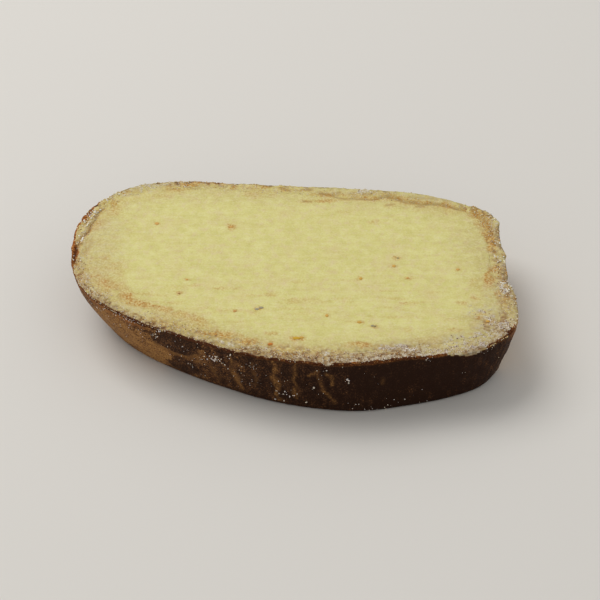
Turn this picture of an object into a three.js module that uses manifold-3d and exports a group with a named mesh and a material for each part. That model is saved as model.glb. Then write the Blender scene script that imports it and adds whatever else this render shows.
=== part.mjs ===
// A thick slice of buttered toast, lying on its cut face.
//
// The slice comes from near the end of a hand-shaped loaf, so its wall leans in towards the table.
// Round the slice, the wall is the dark domed crust in front, the torn side on the right, where the
// loaf was pulled off its neighbour, and the paler base crust behind. Butter lies in the shallow seat
// that the knife pressed into the upper face, and baked sugar clumps cling to the lip and the crust.
//
// Millimetres. X runs along the slice to the torn side, Y from the domed crust to the base crust,
// Z up from the table. The origin is on the table, under the middle of the slice's box.
import * as THREE from "three";
import { mergeVertices } from "three/addons/utils/BufferGeometryUtils.js";
import Module from "manifold-3d";

// ---- Driving dimensions
const slice = { length: 155, depth: 97.3, thickness: 24 };
const columns = 144; // faces round the slice
const outlineSteps = 2400; // samples of the outline, from which the columns are spaced evenly
const touchGap = 0.3; // between the butter and the crumb that it lies on
const mergeDistance = 1e-3;

// The rim of the upper face, anticlockwise from above, starting at the left tip.
// [right of the middle, behind the middle] are shares of half the length and half the depth,
// then how far the foot lies inside the rim, then 1 where the side is torn crumb and 0 for crust.
const stations = [
  [-1.0, 0.154, 11.8, 0],
  [-0.942, -0.193, 10.6, 0],
  [-0.774, -0.471, 8.6, 0],
  [-0.516, -0.697, 6.3, 0],
  [-0.13, -0.932, 4.0, 0],
  [0.22, -1.0, 1.6, 0],
  [0.49, -0.95, 1.2, 0],
  [0.8, -0.859, 4.0, 0],
  [0.96, -0.688, 6.0, 0],
  [1.0, -0.421, 4.8, 1],
  [0.97, 0.023, 3.4, 1],
  [0.955, 0.416, 3.6, 1],
  [0.925, 0.627, 3.8, 1],
  [0.775, 0.753, 3.4, 0],
  [0.57, 0.864, 3.0, 0],
  [0.26, 0.919, 2.6, 0],
  [-0.13, 0.96, 2.6, 0],
  [-0.465, 1.0, 3.2, 0],
  [-0.71, 0.96, 5.0, 0],
  [-0.885, 0.773, 7.4, 0],
  [-0.98, 0.516, 10.2, 0],
];

// Waves are [turns in one round of the rim, phase, weight].
const lip = {
  // From the rim inwards: [distance from the rim, height above the slice's thickness].
  profile: [
    [0, -0.5],
    [0.4, -0.1],
    [1.2, 0],
    [2.4, -0.1],
    [3.4, -0.8],
  ],
  unevenness: 0.4,
  waves: [
    [17, 0.4, 1],
    [29, 2.1, 1],
    [41, 4.0, 0.7],
  ],
};

const seat = {
  depth: 1.2, // below the lip
  rings: [0.65, 0.3], // shares of the way from the butter's edge to the middle
};

const wall = {
  rings: [0.925, 0.86, 0.76, 0.65, 0.53, 0.42, 0.31, 0.2, 0.11, 0.045, 0.012, 0], // shares of the thickness
  curve: 1.4, // 1 is a straight lean, more keeps the upper wall steep
  footWear: 0.7,
  footHeight: 1.2,
  crustSwell: 0.25,
  crustWaves: [
    [9, 1.0, 1],
    [23, 3.0, 1],
  ],
  tornRelief: 1.4,
  lumpHeight: 13, // a torn lump, from the hollow below it to the hollow above
  lumpWaves: [
    [19, 0, 1],
    [34, 1.3, 1],
    [55, 4.1, 0.8],
  ],
  lumpStagger: 4, // how far the waves shift the lumps up and down, in radians
};

const butter = {
  frontMargin: 6.6, // bare lip left between the rim and the butter
  backMargin: 4.4,
  marginUnevenness: 0.7,
  marginWaves: [
    [13, 0.7, 1],
    [37, 2.0, 1],
  ],
  thickness: 1.15,
  feather: 0.35, // thickness at the edge
  // From the edge inwards: [distance from the edge, share of the full thickness].
  rise: [
    [0.7, 0.8],
    [2.0, 1.0],
  ],
  rings: [0.83, 0.65, 0.45, 0.27, 0.12], // shares of the way to the middle
  knifeMark: 0.16, // height of the swells that the knife left
  strokeWidth: 26, // across the slice, from one swell to the next
  strokeLength: 52,
};

// Each clump is a squashed 20-sided grain.
const clumps = {
  seed: 7,
  squash: [0.6, 0.95],
  onCrust: { count: 44, radius: [0.45, 0.95], height: [2, 21] },
  onLip: { count: 34, radius: [0.55, 0.9], distance: [0.8, 2.4] },
};

// ---- Small helpers
const fullTurn = 2 * Math.PI;
const mix = (a, b, t) => a + (b - a) * t;
const clamp01 = (t) => Math.min(1, Math.max(0, t));

// A seeded draw from 0 to 1, so that the scatter is the same on every build.
function seededDraw(seed) {
  let state = seed;
  return () => {
    state = (state + 0x6d2b79f5) | 0;
    let t = Math.imul(state ^ (state >>> 15), 1 | state);
    t = (t + Math.imul(t ^ (t >>> 7), 61 | t)) ^ t;
    return ((t ^ (t >>> 14)) >>> 0) / 2 ** 32;
  };
}

// The Catmull-Rom value at share t of the way from b to c.
function smoothSpan(a, b, c, d, t) {
  const slope = (c - a) * t;
  const bend = (2 * a - 5 * b + 4 * c - d) * t ** 2;
  const twist = (3 * b - a - 3 * c + d) * t ** 3;
  return 0.5 * (2 * b + slope + bend + twist);
}

// ---- The outline
// Rim position, foot inset and torn share at a share of the way through the stations.
function stationAt(share) {
  const count = stations.length;
  const along = share * count;
  const first = Math.floor(along);
  const near = [-1, 0, 1, 2].map((step) => stations[(first + step + count) % count]);
  const value = (k) => smoothSpan(...near.map((station) => station[k]), along - first);
  return {
    x: (value(0) * slice.length) / 2,
    y: (value(1) * slice.depth) / 2,
    inset: value(2),
    torn: clamp01(value(3)),
  };
}

// The stations' curve cut into equal steps of arc, each with its outward normal and its share of a turn.
function evenRim() {
  const fine = Array.from({ length: outlineSteps }, (_, i) => stationAt(i / outlineSteps));
  const run = [0];
  fine.forEach((p, i) => {
    const q = fine[(i + 1) % outlineSteps];
    run.push(run[i] + Math.hypot(q.x - p.x, q.y - p.y));
  });
  let k = 0;
  const points = Array.from({ length: columns }, (_, i) => {
    const target = (i / columns) * run[outlineSteps];
    while (run[k + 1] < target) k++;
    const t = (target - run[k]) / (run[k + 1] - run[k]);
    return { ...stationAt((k + t) / outlineSteps), turn: i / columns };
  });
  points.forEach((p, i) => {
    const before = points[(i + columns - 1) % columns];
    const after = points[(i + 1) % columns];
    const length = Math.hypot(after.x - before.x, after.y - before.y);
    p.nx = (after.y - before.y) / length;
    p.ny = (before.x - after.x) / length;
  });
  return points;
}

const rim = evenRim();

// Weighted waves that close on themselves after one turn of the rim, from -1 to 1.
function rimWaves(p, waves, shift = 0) {
  const total = waves.reduce((sum, wave) => sum + wave[2], 0);
  const value = ([turns, phase, weight]) => weight * Math.sin(fullTurn * turns * p.turn + phase + shift);
  return waves.reduce((sum, wave) => sum + value(wave), 0) / total;
}

// The point a distance inside the rim, at height z.
const inward = (p, distance, z) => new THREE.Vector3(p.x - p.nx * distance, p.y - p.ny * distance, z);

// A ring part of the way to the middle of the slice.
const shrunk = (ring, share) => ring.map((v) => new THREE.Vector3(v.x * (1 - share), v.y * (1 - share), v.z));

// ---- The bread's surfaces
// How far the wall stands out at a height: slow swells on the crust, lumps where the crumb is torn.
function wallRelief(p, height) {
  const rise = (fullTurn * height) / wall.lumpHeight;
  const swell = wall.crustSwell * rimWaves(p, wall.crustWaves, rise / 4);
  const stagger = wall.lumpStagger * rimWaves(p, wall.lumpWaves);
  const lump = (Math.sin(rise + stagger) + rimWaves(p, wall.lumpWaves, rise / 2)) / 2;
  return mix(swell, wall.tornRelief * lump, p.torn);
}

function wallPoint(p, share) {
  const height = share * slice.thickness;
  const lean = p.inset * (1 - share) ** wall.curve;
  const wear = wall.footWear * clamp01(1 - height / wall.footHeight) ** 2;
  const fade = Math.sqrt(Math.sin(Math.PI * (1 - share))); // no relief at the rim and the foot
  return inward(p, lean + wear - wallRelief(p, height) * fade, height);
}

function lipPoint(p, distance) {
  const k = Math.max(1, lip.profile.findIndex(([d]) => d >= distance));
  const [outer, outerHeight] = lip.profile[k - 1];
  const [inner, innerHeight] = lip.profile[k];
  const height = mix(outerHeight, innerHeight, (distance - outer) / (inner - outer));
  const crown = Math.sin((Math.PI * distance) / lip.profile.at(-1)[0]);
  return inward(p, distance, slice.thickness + height + lip.unevenness * rimWaves(p, lip.waves) * crown);
}

// ---- The butter's surfaces
function butterMargin(p) {
  const plain = mix(butter.frontMargin, butter.backMargin, (p.ny + 1) / 2);
  return plain + butter.marginUnevenness * rimWaves(p, butter.marginWaves);
}

const seatHeight = slice.thickness - seat.depth;
const underside = seatHeight + touchGap;
const edgeRing = (height) => rim.map((p) => inward(p, butterMargin(p), height));

function knifeSwell(x, y) {
  const along = (fullTurn * x) / butter.strokeLength;
  const across = (fullTurn * y) / butter.strokeWidth;
  return butter.knifeMark * (Math.sin(across + Math.sin(along / 2)) + 0.6 * Math.sin(along + across / 3));
}

// The point of the spread surface at x and y, for a share of the full thickness.
function spreadPoint(x, y, rise) {
  return new THREE.Vector3(x, y, underside + (butter.thickness + knifeSwell(x, y)) * rise);
}

// ---- Solids from rings
// Rings run from the top middle, outwards, down and back to the bottom middle, one point a column.
function solidFromRings(rings, topMiddle, bottomMiddle) {
  const corners = [];
  const triangle = (a, b, c) => [a, b, c].forEach((v) => corners.push(v.x, v.y, v.z));
  for (let i = 0; i < columns; i++) {
    const j = (i + 1) % columns;
    triangle(topMiddle, rings[0][i], rings[0][j]);
    rings.slice(1).forEach((lower, r) => {
      triangle(rings[r][i], lower[i], lower[j]);
      triangle(rings[r][i], lower[j], rings[r][j]);
    });
    triangle(rings.at(-1)[i], bottomMiddle, rings.at(-1)[j]);
  }
  return new THREE.BufferGeometry().setAttribute("position", new THREE.Float32BufferAttribute(corners, 3));
}

function breadGeometry() {
  const butterEdge = edgeRing(seatHeight);
  const seatRings = seat.rings.map((share) => shrunk(butterEdge, share));
  const lipRings = lip.profile.map(([distance]) => rim.map((p) => lipPoint(p, distance))).reverse();
  const wallRings = wall.rings.map((share) => rim.map((p) => wallPoint(p, share)));
  const rings = [...seatRings, butterEdge, ...lipRings, ...wallRings];
  return solidFromRings(rings, new THREE.Vector3(0, 0, seatHeight), new THREE.Vector3(0, 0, 0));
}

function butterGeometry() {
  const riseRings = butter.rise.map(([distance, rise]) =>
    rim.map((p) => {
      const place = inward(p, butterMargin(p) + distance, 0);
      return spreadPoint(place.x, place.y, rise);
    }),
  );
  const inner = riseRings.at(-1);
  const spreadRings = butter.rings.map((share) => shrunk(inner, share).map((v) => spreadPoint(v.x, v.y, 1)));
  const feathered = edgeRing(underside + butter.feather);
  const lowEdge = edgeRing(underside);
  const lowRings = seat.rings.map((share) => shrunk(lowEdge, share)).reverse();
  const rings = [...spreadRings, ...riseRings.reverse(), feathered, lowEdge, ...lowRings];
  return solidFromRings(rings, spreadPoint(0, 0, 1), new THREE.Vector3(0, 0, underside));
}

// ---- Joining the sugar clumps to the bread
const wasm = await Module();
wasm.setup();

function toSolid(geometry) {
  const plain = geometry.clone();
  plain.deleteAttribute("normal");
  plain.deleteAttribute("uv");
  const merged = mergeVertices(plain, mergeDistance);
  const mesh = new wasm.Mesh({
    numProp: 3,
    vertProperties: new Float32Array(merged.attributes.position.array),
    triVerts: new Uint32Array(merged.index.array),
  });
  return new wasm.Manifold(mesh);
}

function toGeometry(solid) {
  const mesh = solid.getMesh();
  return new THREE.BufferGeometry()
    .setAttribute("position", new THREE.Float32BufferAttribute(mesh.vertProperties, 3))
    .setIndex(new THREE.BufferAttribute(mesh.triVerts, 1));
}

function clump(place, radius, draw) {
  const shape = new THREE.IcosahedronGeometry(radius, 0);
  shape.scale(1, mix(...clumps.squash, draw()), mix(...clumps.squash, draw()));
  const turn = new THREE.Euler(draw() * fullTurn, draw() * fullTurn, draw() * fullTurn);
  const matrix = new THREE.Matrix4().makeRotationFromEuler(turn).setPosition(place);
  return toSolid(shape.applyMatrix4(matrix));
}

// Clumps lie thickest on the front crust, and along the lip in front and at the torn side.
function scatterClumps() {
  const draw = seededDraw(clumps.seed);
  const frontness = (p) => clamp01(0.15 - p.ny);
  const pick = (liking) => {
    for (;;) {
      const p = rim[Math.floor(draw() * columns)];
      if (draw() < liking(p)) return p;
    }
  };
  const crustClump = () => {
    const p = pick((q) => frontness(q) * (1 - q.torn));
    const place = wallPoint(p, mix(...clumps.onCrust.height, draw()) / slice.thickness);
    return clump(place, mix(...clumps.onCrust.radius, draw() ** 2), draw);
  };
  const lipClump = () => {
    const p = pick((q) => clamp01(0.3 + frontness(q) + q.torn));
    const place = lipPoint(p, mix(...clumps.onLip.distance, draw()));
    return clump(place, mix(...clumps.onLip.radius, draw()), draw);
  };
  const crustClumps = Array.from({ length: clumps.onCrust.count }, crustClump);
  const lipClumps = Array.from({ length: clumps.onLip.count }, lipClump);
  return [...crustClumps, ...lipClumps];
}

// The largest body of a union, without any loose scrap.
const largest = (solid) => solid.decompose().sort((a, b) => b.volume() - a.volume())[0];

function sugaredBread() {
  const joined = scatterClumps().reduce((solid, grain) => solid.add(grain), toSolid(breadGeometry()));
  return toGeometry(largest(joined));
}

// ---- The scene graph
const crumbAndCrust = new THREE.MeshStandardMaterial({ color: 0x6b4527, roughness: 0.75, metalness: 0 });
const spreadButter = new THREE.MeshStandardMaterial({ color: 0xdccf86, roughness: 0.5, metalness: 0 });

const bread = new THREE.Mesh(sugaredBread(), crumbAndCrust);
bread.name = "bread_slice";

const spread = new THREE.Mesh(butterGeometry(), spreadButter);
spread.name = "butter_spread";

const toast = new THREE.Group();
toast.add(bread, spread);

// Centre the slice's box over the origin.
const box = new THREE.Box3().setFromObject(toast);
toast.position.set(-(box.min.x + box.max.x) / 2, -(box.min.y + box.max.y) / 2, -box.min.z);

export default toast;
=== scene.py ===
import math
from functools import partial

import bmesh
import bpy
import numpy as np
from mathutils import Euler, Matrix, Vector, noise


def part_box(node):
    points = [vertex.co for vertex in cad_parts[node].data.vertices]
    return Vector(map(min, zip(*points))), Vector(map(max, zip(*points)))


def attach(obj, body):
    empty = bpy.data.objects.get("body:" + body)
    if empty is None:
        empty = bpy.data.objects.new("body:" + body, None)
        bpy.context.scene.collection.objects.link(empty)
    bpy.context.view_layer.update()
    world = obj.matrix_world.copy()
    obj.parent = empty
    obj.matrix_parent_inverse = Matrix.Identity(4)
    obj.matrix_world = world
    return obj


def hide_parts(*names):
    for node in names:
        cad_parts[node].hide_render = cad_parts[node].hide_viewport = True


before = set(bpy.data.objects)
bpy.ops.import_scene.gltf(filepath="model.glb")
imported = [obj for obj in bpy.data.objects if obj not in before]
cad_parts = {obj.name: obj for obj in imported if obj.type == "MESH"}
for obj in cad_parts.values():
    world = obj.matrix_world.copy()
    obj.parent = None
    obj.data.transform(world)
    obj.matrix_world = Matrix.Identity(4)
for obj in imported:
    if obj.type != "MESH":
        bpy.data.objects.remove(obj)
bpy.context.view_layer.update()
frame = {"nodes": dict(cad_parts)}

mm = 0.001  # shapes are worked out in millimetres and made in metres
latticeTurn = (0.5, 0.7, 0.3)  # every noise is turned off the axes, so that its lattice doesn't show
seedStep = 7.31  # how far apart two seeds look at the same noise
farAway = 99.0  # mm, further than anything on the slice
print("frame loaded:", ", ".join(frame["nodes"]))

# The camera looks down on the buttered side and the domed crust.
cameraView = {"lens": 120, "elevation": 42, "distance": 0.7222, "target": (0.0031, 0.0101, 0)}


def addObject(name, data):
    added = bpy.data.objects.new(name, data)
    bpy.context.scene.collection.objects.link(added)
    return added


def addCamera(view):
    tilt = math.radians(view["elevation"])
    camera = addObject("camera", bpy.data.cameras.new("camera"))
    camera.data.lens = view["lens"]
    back = Vector((0, -math.cos(tilt), math.sin(tilt)))
    camera.location = Vector(view["target"]) + view["distance"] * back
    camera.rotation_euler = (math.pi / 2 - tilt, 0, 0)
    bpy.context.scene.camera = camera


addCamera(cameraView)


def mix(a, b, t):
    return a + (b - a) * t


def smoothStep(low, high, value):
    t = np.clip((value - low) / (high - low), 0, 1)
    return t * t * (3 - 2 * t)


def bell(value, middle, width):
    return np.exp(-(((value - middle) / width) ** 2))


def noiseSpots(points, size, seed):
    turned = points.reshape(-1, 3) @ np.array(Euler(latticeTurn).to_matrix())
    return [Vector(spot) for spot in (turned / size + seed * seedStep).tolist()]


def noiseField(points, size, seed):  # about -1 to 1, with features of the given size in mm
    values = [noise.noise(spot) for spot in noiseSpots(points, size, seed)]
    return np.array(values).reshape(points.shape[:-1])


def noiseFields(points, noises):  # each noise is its amount, its size in mm and its seed
    return [amount * noiseField(points, size, seed) for amount, size, seed in noises]


def poreField(points, amount, size, width, seed):  # the amount in the middle of each pore, 0 between
    nearest = [noise.voronoi(spot)[0][0] for spot in noiseSpots(points, size, seed)]
    return amount * smoothStep(width, 0.35 * width, np.array(nearest).reshape(points.shape[:-1]))


butterLow, butterHigh = [np.array(corner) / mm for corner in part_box("butter_spread")]

slab = {
    "columns": 800,
    "lipLeftFront": (4.84, 5.99),  # bare lip past the butter's box, on the left and in front
    "lipRightBack": (5.29, 4.09),
    "seatGap": 0.3,  # from the seat up to the butter's underside
    "seatDepth": 1.2,  # from the lip down to the seat
    "sideways": (0.25, 0.55),  # a side starts to count as front or back, and fully does
    # Noises of (amount, size, seed) that make the rim ragged and the butter's edge uneven.
    "wobble": ((0.35, 7, 51), (0.3, 2.6, 52), (0.24, 1.2, 53)),
    "wander": ((0.8, 9, 1), (0.5, 3, 2), (0.25, 1.2, 3)),
}
seatHeight = butterLow[2] - slab["seatGap"]
thickness = seatHeight + slab["seatDepth"]

bakeRange = (0.08, 1.25)  # from the palest to the darkest crust

# Anticlockwise from above, starting at the left tip. x and y are shares of half the length and half
# the depth, then the foot's inset in mm, and 1 where the side is torn crumb. The finish follows:
# sugar on the lip and how many mm it reaches in, toasting, where the butter starts in mm,
# how dark the crust is, how wide its cut edge shows in mm and how much that glows orange.
rimFields = ("x", "y", "inset", "torn", "sugar", "reach", "toast", "margin", "bake", "edge", "glow")
rimStations = [
    (-1, 0.154, 11.8, 0, 0.4, 3, 0.2, 5.2, 0.3, 0.3, 1),
    (-0.942, -0.193, 10.6, 0, 0.6, 3.4, 0.15, 6, 0.35, 0.1, 0.35),
    (-0.774, -0.471, 8.6, 0, 0.42, 3.6, 0.45, 6.2, 0.22, 1, 0.15),
    (-0.516, -0.697, 6.3, 0, 0.45, 4.4, 0.7, 6.4, 0.42, 0.7, 0.1),
    (-0.13, -0.932, 4, 0, 0.55, 5.8, 0.85, 6.4, 0.8, 0.6, 0.4),
    (0.22, -1, 1.6, 0, 0.9, 5.6, 0.75, 6.2, 1, 0.8, 0.8),
    (0.49, -0.95, 1.2, 0, 1, 5.6, 0.65, 6, 1.2, 0.8, 0.8),
    (0.8, -0.859, 4, 0, 0.8, 6.5, 0.4, 6, 1.15, 0.6, 0.35),
    (0.96, -0.688, 6, 0, 0.9, 9, 0.6, 6, 0.8, 0.9, 0.8),
    (1, -0.421, 4.8, 1, 0.6, 5.5, 0.4, 5.6, 0.5, 0.2, 0.5),
    (0.97, 0.023, 3.4, 1, 0.7, 3.6, 0.6, 4.8, 0.45, 0.2, 0.4),
    (0.955, 0.416, 3.6, 1, 0.5, 3, 0.7, 4.8, 0.45, 0.2, 0.4),
    (0.925, 0.627, 3.8, 1, 0.45, 2.6, 0.6, 5, 0.5, 0.2, 0.4),
    (0.775, 0.753, 3.4, 0, 0.1, 2, 0.2, 4.4, 0.55, 0.1, 0.3),
    (0.57, 0.864, 3, 0, 0.1, 2, 0.25, 6, 0.55, 0.1, 0.3),
    (0.26, 0.919, 2.6, 0, 0.25, 3.4, 0.3, 6, 0.55, 0.1, 0.3),
    (-0.13, 0.96, 2.6, 0, 0.15, 2, 0.3, 4.4, 0.65, 0.2, 0.3),
    (-0.465, 1, 3.2, 0, 0.55, 2.6, 0.5, 4.4, 0.75, 0.3, 0.5),
    (-0.71, 0.96, 5, 0, 0.55, 2.8, 0.35, 4.6, 0.5, 0.2, 0.5),
    (-0.885, 0.773, 7.4, 0, 0.35, 2.4, 0.5, 4.8, 0.4, 0.4, 0.8),
    (-0.98, 0.516, 10.2, 0, 0.3, 3, 0.35, 5, 0.35, 0.6, 1),
]


def traceRim(stations, count, samples=6000):
    # a closed Catmull-Rom curve through the stations, cut into equal steps of arc
    rows = np.array(stations)
    share = np.arange(samples) / samples * len(rows)
    first = share.astype(int)
    t = (share - first)[:, None]
    a, b, c, d = [rows[(first + step) % len(rows)] for step in (-1, 0, 1, 2)]
    bend = (2 * a - 5 * b + 4 * c - d) * t**2 + (3 * b - a - 3 * c + d) * t**3
    fine = 0.5 * (2 * b + (c - a) * t + bend)
    rimLow = butterLow[:2] - slab["lipLeftFront"]
    rimHigh = butterHigh[:2] + slab["lipRightBack"]
    fine[:, :2] = (rimLow + rimHigh) / 2 + fine[:, :2] * (rimHigh - rimLow) / 2
    fine = np.vstack([fine, fine[:1]])
    run = np.concatenate([[0], np.cumsum(np.hypot(*np.diff(fine[:, :2], axis=0).T))])
    even = np.arange(count) / count * run[-1]
    rim = {name: np.interp(even, run, fine[:, k]) for k, name in enumerate(rimFields)}
    tangentX = np.roll(rim["x"], -1) - np.roll(rim["x"], 1)
    tangentY = np.roll(rim["y"], -1) - np.roll(rim["y"], 1)
    length = np.hypot(tangentX, tangentY)
    rim["nx"], rim["ny"] = tangentY / length, -tangentX / length
    for name, most in (("torn", 1), ("sugar", 1), ("toast", 1), ("bake", bakeRange[1])):
        rim[name] = np.clip(rim[name], 0, most)
    return rim


rim = traceRim(rimStations, slab["columns"])
rimFront = smoothStep(*slab["sideways"], -rim["ny"])  # 1 along the domed front
rimBack = smoothStep(*slab["sideways"], rim["ny"])
print("rim traced, half a millimetre a column")


def inward(distance, height):  # a ring inside the rim; either is a number or one value a column
    x = rim["x"] - rim["nx"] * distance
    y = rim["y"] - rim["ny"] * distance
    return np.stack([x, y, np.broadcast_to(height, x.shape)], axis=1)


def shrunk(ring, share):  # a ring part of the way to the middle
    return mix(ring, np.array([0, 0, ring[0, 2]]), share)


def ringNormals(rings):
    along = np.roll(rings, -1, axis=1) - np.roll(rings, 1, axis=1)
    across = np.gradient(rings, axis=0)
    normals = np.cross(across, along)
    return normals / np.maximum(np.linalg.norm(normals, axis=2, keepdims=True), 1e-9)


mergeDistance = 0.0002 * mm


def meshFromRings(name, rings, fields):
    # a grid wrapped round the slice; its first and last ring close to a point
    bm = bmesh.new()
    bmesh.ops.create_grid(bm, x_segments=rings.shape[1], y_segments=rings.shape[0] - 1, size=1)
    layers = {field: bm.verts.layers.float.new(field) for field in fields}

    def withSeam(values):
        return np.concatenate([values, values[:, :1]], axis=1)

    for vert, place in zip(bm.verts, withSeam(rings * mm).reshape(-1, 3).tolist()):
        vert.co = place
    for field, values in fields.items():
        layer = layers[field]
        for vert, value in zip(bm.verts, withSeam(values).ravel().tolist()):
            vert[layer] = value
    bmesh.ops.remove_doubles(bm, verts=bm.verts, dist=mergeDistance)
    bmesh.ops.recalc_face_normals(bm, faces=bm.faces)
    for face in bm.faces:
        face.smooth = True
        if "crumb" in layers:
            crumbShare = sum(vert[layers["crumb"]] for vert in face.verts) / len(face.verts)
            face.material_index = int(crumbShare > 0.5)
    mesh = bpy.data.meshes.new(name)
    bm.to_mesh(mesh)
    bm.free()
    return mesh


def addPiece(name, mesh, materials, node=None):
    piece = addObject(name, mesh)
    for material in materials:
        mesh.materials.append(material)
    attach(piece, "root")
    if node:
        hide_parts(node)
    print(name, "made,", len(mesh.polygons), "faces")


def hexColour(text):  # sRGB hex to linear, by the standard's own curve
    values = [int(text[k : k + 2], 16) / 255 for k in (1, 3, 5)]
    return tuple(v / 12.92 if v <= 0.04045 else ((v + 0.055) / 1.055) ** 2.4 for v in values) + (1,)


def addNode(tree, kind, links, out=0, stops=(), **settings):
    node = tree.nodes.new("ShaderNode" + kind)
    for name, value in settings.items():
        setattr(node, name, value)
    for socket, value in links.items():
        if isinstance(value, bpy.types.NodeSocket):
            tree.links.new(value, node.inputs[socket])
        else:
            node.inputs[socket].default_value = value
    if stops:
        elements = node.color_ramp.elements
        elements.remove(elements[-1])
        elements[0].position = stops[0][0]
        elements[0].color = hexColour(stops[0][1])
        for place, colour in stops[1:]:
            elements.new(place).color = hexColour(colour)
    return node.outputs[out] if node.outputs else None


def startMaterial(name, *fields):
    # an empty material, addNode for its tree, and the fields that are painted on the piece
    material = bpy.data.materials.new(name)
    material.use_nodes = True
    material.node_tree.nodes.clear()
    node = partial(addNode, material.node_tree)
    return [material, node] + [node("Attribute", {}, out=2, attribute_name=field) for field in fields]


def finishMaterial(material, node, surface):
    node("OutputMaterial", {"Surface": node("BsdfPrincipled", surface)})
    return material


def addGrains(node, sizes, stretch=(1, 1, 1)):
    # noises by name, on Object coordinates, from the size of their features in mm and their detail
    place = node("TexCoord", {}, out=3)
    place = node("Mapping", {"Vector": place, "Scale": stretch, "Rotation": latticeTurn})
    grains = {}
    for name, (size, detail) in sizes.items():
        spacing = {"Vector": place, "Scale": 1 / (size * mm), "Detail": detail}
        grains[name] = node("TexNoise", spacing)
    return grains


mostNoise = {"From Min": 0.36, "From Max": 0.62}  # nearly all of a noise lies between these


def ragged(node, field, grain, low, top):  # a painted field broken up by the grain, low to top of it
    share = node("MapRange", {"Value": grain, "To Min": low, "To Max": top, **mostNoise})
    return node("Math", {0: share, 1: field}, operation="MULTIPLY")


def layCoats(node, colour, coats):  # each coat is its share and its colour, over those before
    for share, tint in coats:
        over = hexColour(tint) if isinstance(tint, str) else tint
        colour = node("Mix", {0: share, 6: colour, 7: over}, out=2, data_type="RGBA")
    return colour


fineBump = {"Strength": 0.7, "Distance": 0.2 * mm}
translucent = {"Subsurface Weight": 0.4, "Subsurface Scale": 0.5 * mm}

crustLook = {
    "fields": ("bake", "crack", "cut", "hollow"),
    "grains": {"blotch": (3.5, 4), "mottle": (0.5, 2)},
    "blotchDepth": 0.6,
    "mottleDepth": 2.4,
    # The skin, from the palest bake to the darkest.
    "pale": ((0, "#a87b46"), (0.16, "#8a5f36"), (0.3, "#6f492b")),
    "dark": ((0.5, "#52351f"), (0.75, "#3c2517"), (0.98, "#29160c")),
    "stretched": ((0.38, "#4a2d16"), (0.62, "#966a3a")),
    "rind": ((0.32, "#5e2e10"), (0.48, "#96551f"), (0.66, "#cc9054")),  # the cut edge, amber
    # the dark coat: painted shade in pores and low places, with browning near the torn crumb
    "gap": "#42200c",
    "surface": {"Roughness": 0.6, "IOR": 1.45, "Specular IOR Level": 0.07},
}


def bakedCrust():
    # yeast-bread crust, baked dark: a smooth caramelised skin, almost matt, tan where it stretched
    look = crustLook
    material, node, bake, crack, cut, hollow = startMaterial("bakedCrust", *look["fields"])
    blotch, mottle = addGrains(node, look["grains"]).values()
    average = (look["blotchDepth"] + look["mottleDepth"]) / 2  # a noise is 0.5 on average
    depth = node("Math", {0: blotch, 1: look["blotchDepth"], 2: bake}, operation="MULTIPLY_ADD")
    depth = node("Math", {0: mottle, 1: look["mottleDepth"], 2: depth}, operation="MULTIPLY_ADD")
    depth = node("Math", {0: depth, 1: average}, operation="SUBTRACT")
    skin = node("ValToRGB", {"Fac": depth}, stops=look["pale"] + look["dark"])
    stretched = node("ValToRGB", {"Fac": mottle}, stops=look["stretched"])
    rind = node("ValToRGB", {"Fac": mottle}, stops=look["rind"])
    cracked = ragged(node, crack, mottle, 0.8, 1.6)
    skin = layCoats(node, skin, [(cracked, stretched), (cut, rind), (hollow, look["gap"])])
    height = node("Math", {0: blotch, 1: look["blotchDepth"], 2: mottle}, operation="MULTIPLY_ADD")
    bump = node("Bump", {"Height": height, **fineBump})
    return finishMaterial(material, node, {"Base Color": skin, "Normal": bump, **look["surface"]})


# Of these, the third darkens the low places: painted shade between the grains, in pits and furrows, with the
# crumb's browning.
topFields = ("sugar", "toast", "hollow", "gritty")  # painted on the buttered side

butteredLook = {
    "grains": {"grain": (0.65, 2), "mottle": (1.3, 3), "clot": (3.2, 4), "blush": (2.3, 3), "cloud": (8, 3)},
    "strokes": {"streak": (1.1, 2)},
    "strokeStretch": (0.15, 1, 1),  # the knife draws them out along the slice
    "butter": ((0.3, "#cdc577"), (0.5, "#d5cd82"), (0.7, "#dbd48d")),
    # Faint tints: the noise, where it starts and where it is full, how much shows, the colour.
    "tints": [
        ("cloud", 0.5, 0.75, 0.5, "#d3bf88"),
        ("blush", 0.5, 0.75, 0.55, "#d6bf95"),
        ("streak", 0.5, 0.75, 0.25, "#dfd8a2"),
        ("streak", 0.5, 0.25, 0.18, "#c2ad62"),
        ("grain", 0.52, 0.75, 0.3, "#e2dcb6"),
        ("grain", 0.46, 0.25, 0.3, "#b6a662"),
    ],
    # Where the fine grain is low, as the bump is, the grit turns dark brown: the crumb's colour and painted
    # shade between the grains.
    "grit": ((0.36, "#855e3c"), (0.45, "#9f7d54"), (0.54, "#b09568"), (0.68, "#c8ba94")),
    "toasted": ((0.38, "#b07c36"), (0.5, "#c29a50"), (0.62, "#d2b474")),
    # the dark coat: painted shade between the grains, in pits and furrows, with toasting
    "gap": "#614229",
    "haze": "#bbb195",  # sugar that melted, dull
    # The film turns brown where the fine grain is low: the crumb showing through and painted shade between
    # the crystals.
    "film": ((0.34, "#7f6248"), (0.43, "#aa9880"), (0.52, "#c6bcaa"), (0.68, "#ded8ce")),
    "thickSugar": {"From Min": 0.42, "From Max": 0.9},  # where haze turns to a white film
}


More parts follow.
